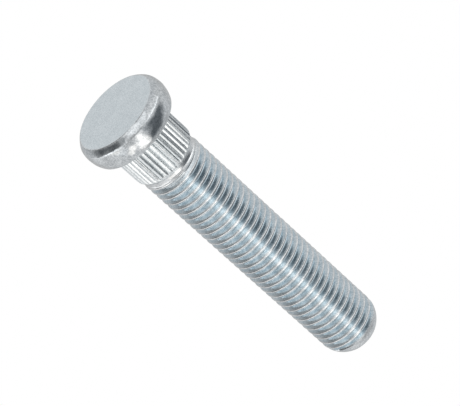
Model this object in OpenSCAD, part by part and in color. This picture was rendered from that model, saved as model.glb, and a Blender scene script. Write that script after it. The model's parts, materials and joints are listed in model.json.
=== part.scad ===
// Knurled press-in stud: a flat barrelled head, a straight knurl that grips its hole,
// a short plain neck, and a fine-thread shank with a rounded end.
// It stands on its head, with the outer face of the head at z = 0 and the thread pointing up.

/* [Head] */
// Diameter at the head's widest point
head_d = 18.1; // [16.5:0.1:24]
// Thickness of the head, from its outer face to its seat
head_t = 5; // [4.2:0.1:6]
// Radius of the edge round the outer face
face_edge_r = 0.4; // [0.1:0.05:0.45]
// Width of the bevel round the outer face
bevel_w = 1.1; // [0.7:0.05:1.4]
// Height of the crease where the bevel meets the barrelled side
crease_z = 1.2; // [0.9:0.05:1.4]
// Height of the head's widest point above its outer face
widest_z = 2.6; // [2:0.1:3]
// Radius of the barrelled side, in the section through the axis
barrel_r = 5; // [5:0.5:20]
// Radius of the edge between the barrelled side and the seat
seat_edge_r = 0.5; // [0.2:0.1:1]

/* [Knurl] */
// Diameter over the knurl's crests
knurl_d = 12.5; // [12.2:0.1:13.5]
// Number of straight teeth in the knurl
knurl_teeth = 40; // [24:1:60]
// Height of a tooth, from its root to its crest
tooth_h = 0.26; // [0.1:0.02:0.36]
// Share of the tooth pitch taken by the flat crest
crest_share = 0.35; // [0.2:0.05:0.6]
// Share of the tooth pitch taken by the floor of the groove
floor_share = 0.1; // [0.05:0.01:0.25]
// Length of the knurl, from the seat to the end of its full crests
knurl_len = 7.5; // [3:0.1:20]

/* [Neck] */
// Diameter of the plain neck between the knurl and the thread
neck_d = 11.35; // [10.5:0.05:11.8]
// Length of the neck, past the slope at the knurl's end
neck_len = 0.4; // [0.2:0.1:10]

/* [Thread] */
// Outside diameter over the thread's crests
thread_d = 11.86; // [11.82:0.01:12]
// Length over which the thread runs out into the neck
runout_len = 1; // [0.5:0.1:4]

/* [Length and end] */
// Overall length, from the head's outer face to the end of the thread
length = 67.6; // [45:0.1:120]
// Diameter of the flat at the thread's end
end_d = 8.2; // [6:0.1:9.5]
// Length of the rounded end
end_len = 4; // [2.5:0.1:6]

/* [Hidden] */
$fn = 96;
steel = [0.75, 0.78, 0.81];
// Distance by which a trimming section reaches past the teeth
over = 1;

// Section of the head, as points [radius, height]
barrel_c = [head_d / 2 - barrel_r, widest_z];
crease_angle = -asin((widest_z - crease_z) / barrel_r);
crease = barrel_c + barrel_r * [cos(crease_angle), sin(crease_angle)];
face_edge_c = [crease.x - bevel_w, face_edge_r];
seat_edge_z = head_t - seat_edge_r;
seat_edge_c = [
    barrel_c.x + sqrt((barrel_r - seat_edge_r) ^ 2 - (seat_edge_z - widest_z) ^ 2),
    seat_edge_z
];
seat_edge_angle = atan2(seat_edge_c.y - barrel_c.y, seat_edge_c.x - barrel_c.x);

// Crowned bevel round the face: its arc leaves the edge's rounding without a break and ends at
// the crease, and its first normal lies a few degrees nearer the axis than a plain bevel's
crown = 5;
bevel_angle = -atan2(bevel_w, crease_z) - crown;
bevel_n = [cos(bevel_angle), sin(bevel_angle)];
bevel_span = crease - face_edge_c - face_edge_r * bevel_n;
bevel_r = -(bevel_span * bevel_span) / (2 * bevel_span * bevel_n);
bevel_c = face_edge_c + (face_edge_r - bevel_r) * bevel_n;
bevel_end = atan2(crease.y - bevel_c.y, crease.x - bevel_c.x);

// Heights along the shank
knurl_end_z = head_t + knurl_len;
knurl_slope = (knurl_d - neck_d) / 2;
neck_z = knurl_end_z + knurl_slope;
runout_z = neck_z + neck_len;
thread_z = runout_z + runout_len;
end_z = length - end_len;

// Arc of the rounded end: it leaves the thread's crests without an edge and stops at the flat
end_drop = (thread_d - end_d) / 2;
end_r = (end_len ^ 2 + end_drop ^ 2) / (2 * end_drop);
end_angle = atan2(end_len, end_r - end_drop);

// Points along an arc round c, from angle a0 to angle a1
function arc(c, r, a0, a1, n) =
    [for (i = [0:n]) let (a = a0 + (a1 - a0) * i / n) c + r * [cos(a), sin(a)]];

function polar(r, a) = [r * cos(a), r * sin(a)];

// Head, forged flat on both sides, with a crowned bevel round the face and a barrelled rim
module head() {
    color(steel)
        rotate_extrude()
            polygon(concat(
                [[0, 0]],
                arc(face_edge_c, face_edge_r, -90, bevel_angle, 4),
                arc(bevel_c, bevel_r, bevel_angle, bevel_end, 6),
                arc(barrel_c, barrel_r, crease_angle, seat_edge_angle, 16),
                arc(seat_edge_c, seat_edge_r, seat_edge_angle, 90, 8),
                [[0, head_t]]
            ));
}

// Outline of the knurl: flat-topped teeth between open grooves
module knurl_outline() {
    pitch = 360 / knurl_teeth;
    crest = crest_share * pitch / 2;
    root = (1 - floor_share) * pitch / 2;
    polygon([
        for (i = [0:knurl_teeth - 1], p = [[0, -root], [tooth_h, -crest], [tooth_h, crest], [0, root]])
            polar(knurl_d / 2 - tooth_h + p.x, i * pitch + p.y)
    ]);
}

// Knurl, run up to the seat, with a slope at 45 degrees that brings its teeth down to the neck
module knurl() {
    color(steel)
        intersection() {
            translate([0, 0, head_t])
                linear_extrude(neck_z - head_t)
                    knurl_outline();
            rotate_extrude()
                polygon([
                    [0, head_t - over],
                    [knurl_d / 2 + over, head_t - over],
                    [knurl_d / 2 + over, knurl_end_z - over],
                    [knurl_d / 2 - knurl_slope, neck_z],
                    [0, neck_z]
                ]);
        }
}

// Neck, run-out, thread and rounded end, turned as one length
module shank() {
    color(steel)
        rotate_extrude()
            polygon(concat(
                [[0, head_t], [neck_d / 2, head_t], [neck_d / 2, runout_z]],
                [[thread_d / 2, thread_z]],
                arc([thread_d / 2 - end_r, end_z], end_r, 0, end_angle, 16),
                [[0, length]]
            ));
}

module stud() {
    head();
    knurl();
    shank();
}

stud();
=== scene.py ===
"""A press-in knurled stud of bright zinc-plated steel, standing on its head under studio light."""

import json

import bpy
import numpy as np
from mathutils import Matrix, Vector


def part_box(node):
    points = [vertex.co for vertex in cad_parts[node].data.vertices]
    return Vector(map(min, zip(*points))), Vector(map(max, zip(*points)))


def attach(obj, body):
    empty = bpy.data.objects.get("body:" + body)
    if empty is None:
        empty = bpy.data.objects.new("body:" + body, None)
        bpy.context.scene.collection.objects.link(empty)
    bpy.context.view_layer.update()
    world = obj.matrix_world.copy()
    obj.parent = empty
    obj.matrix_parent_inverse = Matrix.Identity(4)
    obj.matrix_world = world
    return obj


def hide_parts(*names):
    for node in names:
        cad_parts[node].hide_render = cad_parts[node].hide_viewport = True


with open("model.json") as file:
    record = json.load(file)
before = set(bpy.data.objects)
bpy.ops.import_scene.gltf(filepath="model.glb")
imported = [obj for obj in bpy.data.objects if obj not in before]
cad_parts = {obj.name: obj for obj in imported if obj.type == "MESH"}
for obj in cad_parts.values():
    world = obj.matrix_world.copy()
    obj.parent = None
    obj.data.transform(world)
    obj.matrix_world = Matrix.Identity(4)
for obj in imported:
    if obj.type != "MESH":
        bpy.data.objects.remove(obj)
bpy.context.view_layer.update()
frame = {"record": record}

MM = 0.001

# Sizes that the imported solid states
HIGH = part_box("stud")[1]
MOUNTS = {mount["name"]: mount for mount in frame["record"]["mounts"]}
LENGTH = HIGH.z
HEAD_R = HIGH.x
HEAD_T = MOUNTS["seat"]["pos_m"][2]
THREAD_R = MOUNTS["thread"]["dims"]["r_mm"] * MM

# Head: a flat face, a small rounded edge, a crowned bevel up to a crease, a barrelled side, the seat.
# BEVEL_TILT is the tilt of the bevel's normal, in degrees, where it leaves the rounded edge.
FACE_R = 7.75 * MM
FACE_EDGE_R = 0.4 * MM
BEVEL_TILT = 47.5
CREASE_Z = 1.2 * MM
WIDEST_Z = 2.6 * MM
BARREL_R = 5.0 * MM
SEAT_EDGE_R = 0.5 * MM
HEAD_UNEVEN = 0.012 * MM

# Knurl: straight teeth with flat crests and narrow floors, and a slope down to the neck.
# The shares are those of one tooth's pitch.
KNURL_R = 6.25 * MM
KNURL_END_Z = 12.4 * MM
TEETH = 40
TOOTH_H = 0.26 * MM
CREST_SHARE = 0.35
FLOOR_SHARE = 0.1
TOOTH_UNEVEN = 0.015 * MM
NECK_R = 5.675 * MM
NECK_Z = 13.35 * MM

# Thread: 60 degree flanks between rounded crests and roots. CREST_Z is the height of one crest's
# middle on the +X side, carried down by whole pitches. The crests and roots each have a run-out.
PITCH = 1.5 * MM
THREAD_H = 0.6134 * PITCH
CREST_HALF = 0.12 * MM
CREST_ROUNDING = 0.08 * MM
ROOT_ROUNDING = 0.09 * MM
CREST_Z = 1.07 * MM
RUNOUT_Z = 13.92 * MM
CREST_RUNOUT = 0.45 * MM
ROOT_RUNOUT = 1.5 * MM

# Rounded end, on which the thread fades out short of the flat
END_Z = LENGTH - 4.0 * MM
END_FLAT_R = 4.1 * MM
END_EDGE_R = 0.15 * MM
THREAD_TOP_Z = LENGTH - 2.5 * MM
THREAD_FADE = 0.4 * MM

# Mesh: points round the stud, the first ring round each flat's middle, the space between an edge
# and the ring that guards its shading, and the angle in degrees past which an edge is left sharp
COLUMNS = 160
MIDDLE_R = 0.4 * MM
GUARD = 0.04 * MM
SHARP_ANGLE = 35

# Floor
FLOOR_HALF = 0.6
FLOOR_GAP = 0.05 * MM

# Camera: where it stands, what it aims at, its roll in degrees and its lens
CAMERA_AZIMUTH = -2.0
CAMERA_ELEVATION = -27.78
CAMERA_DISTANCE = 446.6 * MM
CAMERA_RISE = 0.2 * MM
CAMERA_AIM = Vector((-1.73, 0.05, 28.93)) * MM
CAMERA_ROLL = -132.27
CAMERA_LENS = 205.9


def arc(centre, radius, start, end, steps):
    """Points (r, z) on an arc: centre + radius * (cos a, sin a), a from start to end in degrees."""
    a = np.radians(np.linspace(start, end, steps))
    return np.column_stack([centre[0] + radius * np.cos(a), centre[1] + radius * np.sin(a)])


def line(start, end, steps):
    """Points (r, z) evenly spaced on the straight line from start to end."""
    share = np.linspace(0, 1, steps)[:, None]
    return np.asarray(start) * (1 - share) + np.asarray(end) * share


def around(radius, height, angle):
    """Points at (radius cos angle, radius sin angle, height), for arrays that broadcast together."""
    radius, height, angle = np.broadcast_arrays(radius, height, angle)
    return np.stack([radius * np.cos(angle), radius * np.sin(angle), height], axis=-1)


def soft_clip(x, low, high, low_rounding, high_rounding):
    """x held between low and high, with each corner rounded: the two limits are hyperbolas
    0.5 * (x + hypot(x, rounding)) whose straight arms are x and the limit."""
    above = low + 0.5 * (x - low + np.hypot(x - low, low_rounding))
    return high - 0.5 * (high - above + np.hypot(high - above, high_rounding))


class Skin:
    """Points and faces of one closed mesh, gathered ring by ring from the face to the far end."""

    def __init__(self):
        self.points = []
        self.faces = {3: [], 4: []}
        self.count = 0

    def add(self, points):
        """Adds an array of points and returns their numbers in the same arrangement."""
        numbers = self.count + np.arange(points[..., 0].size).reshape(points.shape[:-1])
        self.points.append(points.reshape(-1, 3))
        self.count += numbers.size
        return numbers

    def face(self, *corners):
        """Adds faces, given one array of point numbers for each of their corners."""
        self.faces[len(corners)].append(np.stack(corners, axis=-1).reshape(-1, len(corners)))

    def grid(self, low, after_low, after_high, high):
        """Four-sided faces. One with two corners in the same point becomes a triangle, and one
        with more of them is left out."""
        quads = np.stack([low, after_low, after_high, high], axis=-1).reshape(-1, 4)
        same = quads == np.roll(quads, 1, axis=1)
        self.faces[4].append(quads[~same.any(1)])
        folded = same.sum(1) == 1
        spare = same[folded].argmax(1)[:, None]
        self.faces[3].append(np.take_along_axis(quads[folded], (spare + [1, 2, 3]) % 4, axis=1))

    def band(self, rings):
        """Four-sided faces between neighbouring rings of equal length."""
        after = np.roll(rings, -1, axis=1)
        self.grid(rings[:-1], after[:-1], after[1:], rings[1:])

    def step_up(self, coarse, fine):
        """Triangles from a ring to the next one, which has two points for each of its own."""
        after, first, middle = np.roll(coarse, -1), fine[0::2], fine[1::2]
        self.face(coarse, middle, first)
        self.face(coarse, after, middle)
        self.face(after, np.roll(first, -1), middle)

    def step_down(self, fine, coarse):
        """Triangles from a ring to the next one, which has one point for two of its own."""
        after, first, middle = np.roll(coarse, -1), fine[0::2], fine[1::2]
        self.face(first, middle, coarse)
        self.face(middle, after, coarse)
        self.face(middle, np.roll(first, -1), after)

    def pole(self, point, ring, at_start):
        """Triangles from one point on the axis to a ring."""
        middle = np.full_like(ring, self.add(np.array([point], float))[0])
        after = np.roll(ring, -1)
        if at_start:
            self.face(middle, after, ring)
        else:
            self.face(middle, ring, after)

    def mesh(self, name):
        """The piece, with the points that no face uses left out."""
        triangles, quads = (np.concatenate(self.faces[corners]) for corners in (3, 4))
        used = np.unique(np.concatenate([triangles.ravel(), quads.ravel()]))
        number = np.zeros(self.count, int)
        number[used] = np.arange(used.size)
        mesh = bpy.data.meshes.new(name)
        mesh.from_pydata(np.concatenate(self.points)[used], [],
                         number[triangles].tolist() + number[quads].tolist())
        mesh.shade_smooth()
        mesh.set_sharp_from_angle(angle=np.radians(SHARP_ANGLE))
        piece = bpy.data.objects.new(name, mesh)
        bpy.context.scene.collection.objects.link(piece)
        return piece


def bevel():
    """Crowned bevel of the head as the centre, radius and end tilt of its arc. It leaves the edge's
    rounding at BEVEL_TILT without a break and passes the crease: with d from its start to the
    crease and n its first normal, radius = -d.d / (2 d.n)."""
    tilt = np.radians(BEVEL_TILT)
    normal = np.array([np.cos(tilt), -np.sin(tilt)])
    start = np.array([FACE_R, FACE_EDGE_R]) + FACE_EDGE_R * normal
    crease_r = HEAD_R - BARREL_R + np.sqrt(BARREL_R ** 2 - (WIDEST_Z - CREASE_Z) ** 2)
    span = np.array([crease_r, CREASE_Z]) - start
    radius = -span @ span / (2 * span @ normal)
    end_tilt = 2 * np.degrees(np.arctan2(*span)) - BEVEL_TILT
    return start - radius * normal, radius, end_tilt


def head_profile():
    """Section of the head as points (r, z), from near the middle of its face to the knurl's crests.
    The bevel stops half a degree short of the crease, which leaves the crease slightly rounded."""
    bevel_centre, bevel_r, bevel_end = bevel()
    barrel_centre = (HEAD_R - BARREL_R, WIDEST_Z)
    crease = -np.degrees(np.arcsin((WIDEST_Z - CREASE_Z) / BARREL_R))
    edge_z = HEAD_T - SEAT_EDGE_R
    edge_r = barrel_centre[0] + np.sqrt((BARREL_R - SEAT_EDGE_R) ** 2 - (edge_z - WIDEST_Z) ** 2)
    edge_start = np.degrees(np.arctan2(edge_z - WIDEST_Z, edge_r - barrel_centre[0]))
    return np.concatenate([
        line((MIDDLE_R, 0), (FACE_R - GUARD, 0), 9),
        arc((FACE_R, FACE_EDGE_R), FACE_EDGE_R, -90, -BEVEL_TILT, 7),
        arc(bevel_centre, bevel_r, -BEVEL_TILT, -bevel_end - 0.5, 8)[1:],
        arc(barrel_centre, BARREL_R, crease, crease + 1.0, 2),
        arc(barrel_centre, BARREL_R, crease + 1.0, edge_start, 20)[1:],
        arc((edge_r, edge_z), SEAT_EDGE_R, edge_start, 90, 7)[1:],
        line((edge_r - 0.1 * MM, HEAD_T), (KNURL_R + 0.15 * MM, HEAD_T), 4),
    ])


def head(skin, angles):
    """The head turned from its section, with its side left slightly uneven by the forging:
    r + HEAD_UNEVEN * (sum of waves in angle and height), which fades out on the face and the seat."""
    profile = head_profile()
    r, z = profile[:, :1], profile[:, 1:]
    fade = 0.6 * MM
    side = np.clip(z / fade, 0, 1) * np.clip((HEAD_T - z) / fade, 0, 1)
    wave = z / MM
    uneven = (np.sin(7 * angles + 1.9 * wave) + 0.8 * np.sin(12 * angles - 2.6 * wave + 1.0)
              + 0.6 * np.sin(19 * angles + 3.1 * wave + 2.2))
    rings = skin.add(around(r + HEAD_UNEVEN * side * uneven, z, angles))
    skin.pole((0, 0, 0), rings[0], at_start=True)
    skin.band(rings)
    return rings[-1]


def tooth_angles():
    """Eight angles for each tooth: its crest's middle and edge, two on a flank, three on the
    groove's floor and so on, the same on either side."""
    flank = (1 - CREST_SHARE - FLOOR_SHARE) / 4
    half = np.array([CREST_SHARE / 2, CREST_SHARE / 2 + flank, CREST_SHARE / 2 + 2 * flank])
    across = np.concatenate([[0], half, [0.5], 1 - half[::-1]])
    return 2 * np.pi / TEETH * (np.arange(TEETH)[:, None] + across).ravel()


def tooth_drop(angles):
    """Depth of the knurl below its crests: it grows evenly across the flank, from the edge of the
    crest to the edge of the groove's floor."""
    share = angles * TEETH / (2 * np.pi)
    away = np.abs(share - np.round(share))
    flank = (1 - CREST_SHARE - FLOOR_SHARE) / 2
    return TOOTH_H * np.clip((away - CREST_SHARE / 2) / flank, 0, 1)


def knurl(skin, seat_ring):
    """The teeth from the seat to the slope that brings them down to the neck: the radius is the
    smaller of the tooth's own and the slope's. Each tooth is a little higher or lower than the next."""
    angles = tooth_angles()
    number = np.round(angles * TEETH / (2 * np.pi))
    uneven = TOOTH_UNEVEN * (np.sin(2.4 * number) + 0.8 * np.sin(5.1 * number + 1.0))
    tooth = KNURL_R + uneven - tooth_drop(angles)
    z = np.concatenate([[HEAD_T], np.linspace(HEAD_T + 0.2 * MM, KNURL_END_Z - 0.3 * MM, 5),
                        np.linspace(KNURL_END_Z, NECK_Z, 9)])[:, None]
    down = np.clip((z - KNURL_END_Z) / (NECK_Z - KNURL_END_Z), 0, None)
    slope = KNURL_R - (KNURL_R - NECK_R) * down
    rings = skin.add(around(np.minimum(tooth, slope), z, angles))
    skin.step_up(seat_ring, rings[0])
    skin.band(rings)
    return rings[-1]


def thread_radius(z, away):
    """Radius of the thread where away is the distance from the crest's middle along the axis:
    the flank falls by 1 / tan 30 of that distance past half the crest, held between crest and root
    with both corners rounded. Over the run-out the crest grows out of the neck and the groove
    deepens more slowly. The radius is never more than the rounded end's, and the groove fades out
    at the thread's top."""
    drop = soft_clip((away - CREST_HALF) * np.sqrt(3), 0, THREAD_H, CREST_ROUNDING, ROOT_ROUNDING)
    crest = np.clip((z - RUNOUT_Z) / CREST_RUNOUT, 0, 1)
    root = np.clip((z - RUNOUT_Z) / ROOT_RUNOUT, 0, 1)
    top = np.clip((THREAD_TOP_Z - z) / THREAD_FADE, 0, 1)
    form = NECK_R + crest * (THREAD_R - NECK_R) - root * top * drop
    return np.minimum(form, end_radius(z))


def end_arc():
    """Centre and radius of the arc of the rounded end, which leaves the crests without an edge
    and reaches the flat: radius = (height^2 + drop^2) / (2 drop)."""
    height, drop = LENGTH - END_Z, THREAD_R - END_FLAT_R
    radius = (height ** 2 + drop ** 2) / (2 * drop)
    return THREAD_R - radius, radius


def end_radius(z):
    """Radius of the rounded end at height z, from the circle's equation."""
    centre_r, radius = end_arc()
    up = np.clip(z - END_Z, 0, radius)
    return centre_r + np.sqrt(radius ** 2 - up ** 2)


def thread(skin, low_ring, top_ring, angles):
    """The thread as a helical grid. A row at angle a has the height
    CREST_Z + PITCH * (whole pitches + a / turn) + its place across the pitch, so that each row
    climbs one pitch in a turn and joins the row one pitch above it. The places lie closest on the
    rounding of the crest and of the root. Points below the low ring or above the top ring are taken
    as that ring's own, and faces left with no area are dropped."""
    half = np.array([0.06, 0.12, 0.19, 0.52, 0.61, 0.68]) * MM
    across = np.concatenate([half, [PITCH / 2], PITCH - half[::-1]])
    per_pitch = across.size
    turn = np.arange(COLUMNS) / COLUMNS
    first = np.floor((RUNOUT_Z - CREST_Z) / PITCH) - 1
    last = np.ceil((THREAD_TOP_Z - CREST_Z) / PITCH) + 1
    pitches = np.arange(first, last)
    start = (CREST_Z + PITCH * pitches[:, None] + across).ravel()[:, None]
    z = start + PITCH * turn
    away = np.tile(np.minimum(across, PITCH - across), pitches.size)[:, None]
    numbers = skin.add(around(thread_radius(z, away), z, angles))
    numbers = np.where(z <= RUNOUT_Z, low_ring, numbers)
    numbers = np.where(z >= THREAD_TOP_Z, top_ring, numbers)
    seam = np.concatenate([numbers[per_pitch:, 0], np.full(per_pitch, top_ring[0])])
    after = np.column_stack([numbers[:, 1:], seam])
    skin.grid(numbers[:-1], after[:-1], after[1:], numbers[1:])


def shank(skin, knurl_ring):
    """Neck, thread and rounded end, closed by a flat."""
    angles = np.arange(COLUMNS) * 2 * np.pi / COLUMNS
    rows = np.array([NECK_Z + GUARD, NECK_Z + 0.3 * MM, RUNOUT_Z - GUARD, RUNOUT_Z])
    neck = skin.add(around(NECK_R, rows[:, None], angles))
    skin.step_down(knurl_ring, neck[0])
    skin.band(neck)
    z = np.linspace(THREAD_TOP_Z, LENGTH - END_EDGE_R * 0.4, 10)
    rounded = np.column_stack([end_radius(z), z])
    flat = line((END_FLAT_R - END_EDGE_R * 0.5, LENGTH), (MIDDLE_R, LENGTH), 8)
    profile = np.concatenate([rounded, flat])
    end = skin.add(around(profile[:, :1], profile[:, 1:], angles))
    thread(skin, neck[-1], end[0], angles)
    skin.band(end)
    skin.pole((0, 0, LENGTH), end[-1], at_start=False)


def stud():
    """The whole stud as one closed skin."""
    skin = Skin()
    angles = np.arange(COLUMNS) * 2 * np.pi / COLUMNS
    seat_ring = head(skin, angles)
    knurl_ring = knurl(skin, seat_ring)
    shank(skin, knurl_ring)
    return skin.mesh("zinc_plated_stud")


class Socket:
    """A node's output. Sums and products of sockets and numbers add their Math nodes."""

    def __init__(self, tree, out=None):
        self.tree = tree
        self.out = out

    def node(self, kind, settings=None, inputs=None, output=0):
        """Adds a node: first its settings, then the values or links of its inputs."""
        node = self.tree.nodes.new(kind)
        for name, value in (settings or {}).items():
            setattr(node, name, value)
        for name, value in (inputs or {}).items():
            if isinstance(value, Socket):
                self.tree.links.new(value.out, node.inputs[name])
            else:
                node.inputs[name].default_value = value
        return Socket(self.tree, node.outputs[output])

    def outputs(self):
        """All outputs of the node that this one belongs to."""
        return [Socket(self.tree, out) for out in self.out.node.outputs]

    def math(self, operation, *values):
        return self.node("ShaderNodeMath", {"operation": operation}, dict(enumerate(values)))

    def __add__(self, other):
        return self.math("ADD", self, other)

    def __sub__(self, other):
        return self.math("SUBTRACT", self, other)

    def __rsub__(self, other):
        return self.math("SUBTRACT", other, self)

    def __mul__(self, other):
        return self.math("MULTIPLY", self, other)

    def __pow__(self, other):
        return self.math("POWER", self, other)

    __radd__ = __add__
    __rmul__ = __mul__

    def vector(self, operation, *values, output=0):
        inputs = dict(enumerate(values))
        return self.node("ShaderNodeVectorMath", {"operation": operation}, inputs, output)

    def smooth(self, low, high):
        """0 at low, 1 at high, and a smooth step between them."""
        ends = {"Value": self, "From Min": low, "From Max": high}
        return self.node("ShaderNodeMapRange", {"interpolation_type": "SMOOTHSTEP"}, ends)

    def noise(self, scale, detail):
        """Noise with the given number of features a metre, from 0 to 1."""
        return self.node("ShaderNodeTexNoise", None, {"Vector": self, "Scale": scale, "Detail": detail})

    def mix(self, start, end):
        """The colour start where this is 0 and end where it is 1."""
        return self.node("ShaderNodeMix", {"data_type": "RGBA"}, {0: self, 6: start, 7: end}, 2)


def zinc_plate():
    """Bright zinc on steel: bluish in the thread's hollows, worn pale on its crests, a cool satin on
    the head's face and neutral on its side. The knurl is scored along its length and its grooves
    are darkened with dirt and painted shade, the first turns and the rounded end are plainer, and
    everything has a faint grain."""
    material = bpy.data.materials.new("zinc_plate")
    material.use_nodes = True
    tree = material.node_tree
    shader = tree.nodes["Principled BSDF"]
    start = Socket(tree)
    place = start.node("ShaderNodeTexCoord", output=3)
    x, y, z = start.node("ShaderNodeSeparateXYZ", None, {0: place}).outputs()
    radius = (x * x + y * y) ** 0.5
    on_face = radius.smooth(FACE_R + 0.1 * MM, FACE_R) * z.smooth(0.1 * MM, 0)
    on_shank = z.smooth(NECK_Z - 0.3 * MM, NECK_Z + 0.2 * MM)
    on_knurl = z.smooth(HEAD_T, HEAD_T + 0.1 * MM) * (1 - on_shank)
    # Mask of the knurl's grooves, where the colour darkens towards the floor: dirt and painted shade
    groove = on_knurl * radius.smooth(KNURL_R - 0.18 * MM, KNURL_R - TOOTH_H)
    groove = groove * z.smooth(KNURL_END_Z, KNURL_END_Z - 0.2 * MM)
    crest = on_knurl * radius.smooth(KNURL_R - 0.1 * MM, KNURL_R - 0.05 * MM)
    on_side = 1 - on_face - on_shank - on_knurl
    on_end = z.smooth(THREAD_TOP_Z - THREAD_FADE, THREAD_TOP_Z)
    on_start = 1 - z.smooth(RUNOUT_Z + 0.8 * MM, RUNOUT_Z + 1.8 * MM)
    hollow = on_shank * radius.smooth(THREAD_R - 0.02 * MM, THREAD_R - 0.35 * MM) * (1 - on_end)
    hollow = hollow * (1 - on_start * 0.9)

    cloud = place.noise(1100, 3)
    speck = place.noise(3600, 2)
    patch = place.noise(380, 2)
    tone = 0.5 + (speck - 0.5) * (2.4 - 0.2 * on_face) + (cloud - 0.5) * 0.8 + (patch - 0.5) * 0.7
    face = tone.mix((0.54, 0.60, 0.635, 1), (0.74, 0.80, 0.835, 1))
    bare = tone.mix((0.46, 0.49, 0.51, 1), (0.82, 0.85, 0.87, 1))
    teeth = tone.mix((0.66, 0.71, 0.735, 1), (0.93, 0.96, 0.975, 1))
    # Darker tint for the knurl's grooves: dirt and painted shade
    groove_dirt_and_shade = tone.mix((0.30, 0.33, 0.345, 1), (0.52, 0.56, 0.58, 1))
    blue = tone.mix((0.47, 0.57, 0.63, 1), (0.73, 0.80, 0.84, 1))
    worn = tone.mix((0.58, 0.60, 0.61, 1), (0.91, 0.925, 0.935, 1))
    head = on_face.mix(bare, face)
    knurl = groove.mix(on_knurl.mix(head, teeth), groove_dirt_and_shade)
    shank = on_end.mix(worn, bare)
    tint = hollow.mix(on_shank.mix(knurl, shank), blue)
    roughness = 0.06 + 0.08 * cloud + 0.12 * crest + 0.12 * on_knurl
    roughness = roughness + 0.08 * on_end + 0.1 * on_start * on_shank + 0.08 * hollow

    grain = place.noise(7000, 2) * (0.003 * MM)
    score = place.vector("MULTIPLY", place, (1, 1, 0.02)).noise(7500, 2) * on_knurl * (0.04 * MM)
    rub = place.noise(3200, 2) * (1 - hollow) * on_shank * (0.01 * MM)
    dents = place.noise(700, 1) * on_side * (0.03 * MM)
    height = grain + score + rub + dents
    bump = start.node("ShaderNodeBump", None, {"Strength": 1.0, "Distance": 1.0, "Height": height})
    tree.links.new(tint.out, shader.inputs["Base Color"])
    tree.links.new(roughness.out, shader.inputs["Roughness"])
    tree.links.new(bump.out, shader.inputs["Normal"])
    shader.inputs["Metallic"].default_value = 1.0
    return material


def floor():
    """A pale floor just under the head's face. Its underside lets the camera see through it."""
    signs = ((-1, -1), (1, -1), (1, 1), (-1, 1))
    corners = [(x * FLOOR_HALF, y * FLOOR_HALF, -FLOOR_GAP) for x, y in signs]
    mesh = bpy.data.meshes.new("floor")
    mesh.from_pydata(corners, [], [(0, 1, 2, 3)])
    obj = bpy.data.objects.new("floor", mesh)
    bpy.context.scene.collection.objects.link(obj)
    material = bpy.data.materials.new("pale_floor")
    material.use_nodes = True
    tree = material.node_tree
    start = Socket(tree)
    under = start.node("ShaderNodeNewGeometry", output=6)
    paint = Socket(tree, tree.nodes["Principled BSDF"].outputs[0])
    tree.nodes["Principled BSDF"].inputs["Base Color"].default_value = (0.9, 0.9, 0.9, 1)
    tree.nodes["Principled BSDF"].inputs["Roughness"].default_value = 0.9
    clear = start.node("ShaderNodeBsdfTransparent")
    both = start.node("ShaderNodeMixShader", None, {0: under, 1: paint, 2: clear})
    tree.links.new(both.out, tree.nodes["Material Output"].inputs["Surface"])
    mesh.materials.append(material)
    obj.visible_glossy = False
    obj.visible_diffuse = False
    obj.visible_shadow = False


def direction(azimuth, elevation):
    """Unit vector from the stud: azimuth from -Y towards +X and elevation above XY, in degrees."""
    a, e = np.radians([azimuth, elevation])
    return Vector((np.sin(a) * np.cos(e), -np.cos(a) * np.cos(e), np.sin(e)))


def panel(look, azimuth, elevation, tilt, half_length, half_width, soft):
    """1 inside an oval panel seen in that direction, 0 outside it, as the room is seen along look.
    The panel's long side stands along the meridian, turned by tilt, and the oval's equation is
    (along / sin half_length)^2 + (across / sin half_width)^2 = 1, with an edge soft wide."""
    centre = direction(azimuth, elevation)
    side = direction(azimuth + 90, 0)
    up = side.cross(centre) * -1
    t = np.radians(tilt)
    along_axis = (up * np.cos(t) + side * np.sin(t)) / np.sin(np.radians(half_length))
    across_axis = (side * np.cos(t) - up * np.sin(t)) / np.sin(np.radians(half_width))
    along = look.vector("DOT_PRODUCT", look, tuple(along_axis), output=1)
    across = look.vector("DOT_PRODUCT", look, tuple(across_axis), output=1)
    front = look.vector("DOT_PRODUCT", look, tuple(centre), output=1)
    oval = (along * along + across * across) ** 0.5
    return (1 - oval.smooth(1 - soft, 1 + soft)) * front.smooth(0, 0.1)


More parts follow.
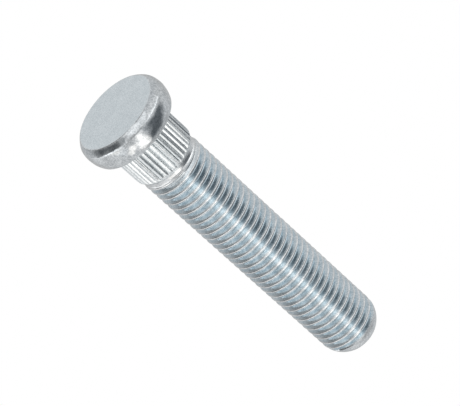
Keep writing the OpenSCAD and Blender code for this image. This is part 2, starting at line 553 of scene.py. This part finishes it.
def studio():
    """White behind the stud for the camera. The zinc mirrors a pale room with soft panels in it, each
    given by azimuth, elevation, tilt, half length and half width in degrees, softness of its edge,
    light and warmth. A later panel lies over an earlier one."""
    world = bpy.data.worlds.new("studio")
    bpy.context.scene.world = world
    world.use_nodes = True
    tree = world.node_tree
    start = Socket(tree)
    look = start.node("ShaderNodeTexCoord", output=0)
    look = look.vector("NORMALIZE", look)
    colour = start.node("ShaderNodeRGB")
    colour.out.default_value = (0.66, 0.67, 0.68, 1)
    panels = [
        (-85, -11, -62, 58, 24, 0.45, 0.85, 0),  # pale card, low on the left
        (73, -35, 115, 49, 76, 0.27, 1.54, 0),  # bright table edge round the dark card
        (84, -32, -100, 49, 38, 0.6, 0.12, -0.05),  # dark card, low on the right
        (-48, 36, 45, 33, 22, 0.4, 0.14, -0.08),  # dark card beside the camera
        (-55, 18, 93, 32, 12, 0.45, 0.16, -0.08),  # its lower arm
        (4, 36, 3, 38, 12, 0.55, 1.75, 0.04),  # strip light in front
        (35, 33, 34, 24, 8, 0.5, 1.32, 0.04),  # second strip light
        (62, -3, -25, 17, 66, 0.3, 1.20, 0),  # wall on the right
        (24, -12, 33, 25, 17, 0.5, 0.60, 0),  # gap under the strip lights
        (88, 48, 95, 23, 58, 0.3, 0.77, 0),  # ceiling on the right
        (72, -75, 44, 27, 14, 0.69, 0.75, 0),  # table under the thread
        (180, 28, 10, 25, 68, 0.55, 0.57, 0),  # ceiling behind
        (180, 2, 0, 9, 16, 0.35, 0.35, 0),  # far edge of the table
        (128, -58, 0, 22, 20, 0.5, 0.32, 0),  # shadow on the table
        (180, -28, 0, 24, 30, 0.4, 0.80, 0),  # pale card that the face shows
        (0, -86, 0, 18, 18, 0.6, 1.40, 0),  # table right below
        (90, -70, 0, 14, 14, 0.6, 0.41, 0),  # shadow beside it on the right
        (-90, -75, 0, 16, 16, 0.6, 0.39, 0),  # shadow beside it on the left
        (62, 0, 0, 12, 13, 0.6, 1.10, 0.03),  # spill of the second strip light
        (0, -24, 90, 24, 8, 0.5, 0.46, 0),  # shadow under the strip light
        (-61, 74, 65, 31, 9, 0.8, 0.49, 0),  # dim ceiling on the left
        (-69, -17, 110, 31, 7, 0.4, 1.40, 0),  # lit edge of the pale card
        (82, -12, 66, 41, 5, 0.45, 1.52, 0),  # lit edge above the dark card
    ]
    for azimuth, elevation, tilt, half_length, half_width, soft, light, warmth in panels:
        mask = panel(look, azimuth, elevation, tilt, half_length, half_width, soft)
        colour = mask.mix(colour, (light * (1 + warmth), light, light * (1 - warmth), 1))
    to_camera = start.node("ShaderNodeLightPath", output=0)
    shown = to_camera.mix(colour, (1, 1, 1, 1))
    tree.links.new(shown.out, tree.nodes["Background"].inputs["Color"])


def camera():
    """A long lens that looks up at the stud from below its head, rolled as the photograph is."""
    place = direction(CAMERA_AZIMUTH, CAMERA_ELEVATION) * CAMERA_DISTANCE
    place.z += CAMERA_RISE
    forward = (CAMERA_AIM - place).normalized()
    up = (Vector((0, 0, 1)) - forward * forward.z).normalized()
    right = forward.cross(up)
    roll = np.radians(CAMERA_ROLL)
    up, right = up * np.cos(roll) + right * np.sin(roll), right * np.cos(roll) - up * np.sin(roll)
    data = bpy.data.cameras.new("camera")
    data.lens = CAMERA_LENS
    obj = bpy.data.objects.new("camera", data)
    obj.matrix_world = Matrix.Translation(place) @ Matrix((right, up, -forward)).transposed().to_4x4()
    bpy.context.scene.collection.objects.link(obj)
    bpy.context.scene.camera = obj


camera()
studio()
floor()
piece = stud()
piece.data.materials.append(zinc_plate())
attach(piece, "root")
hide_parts("stud")

bpy.context.scene.view_settings.view_transform = "Standard"
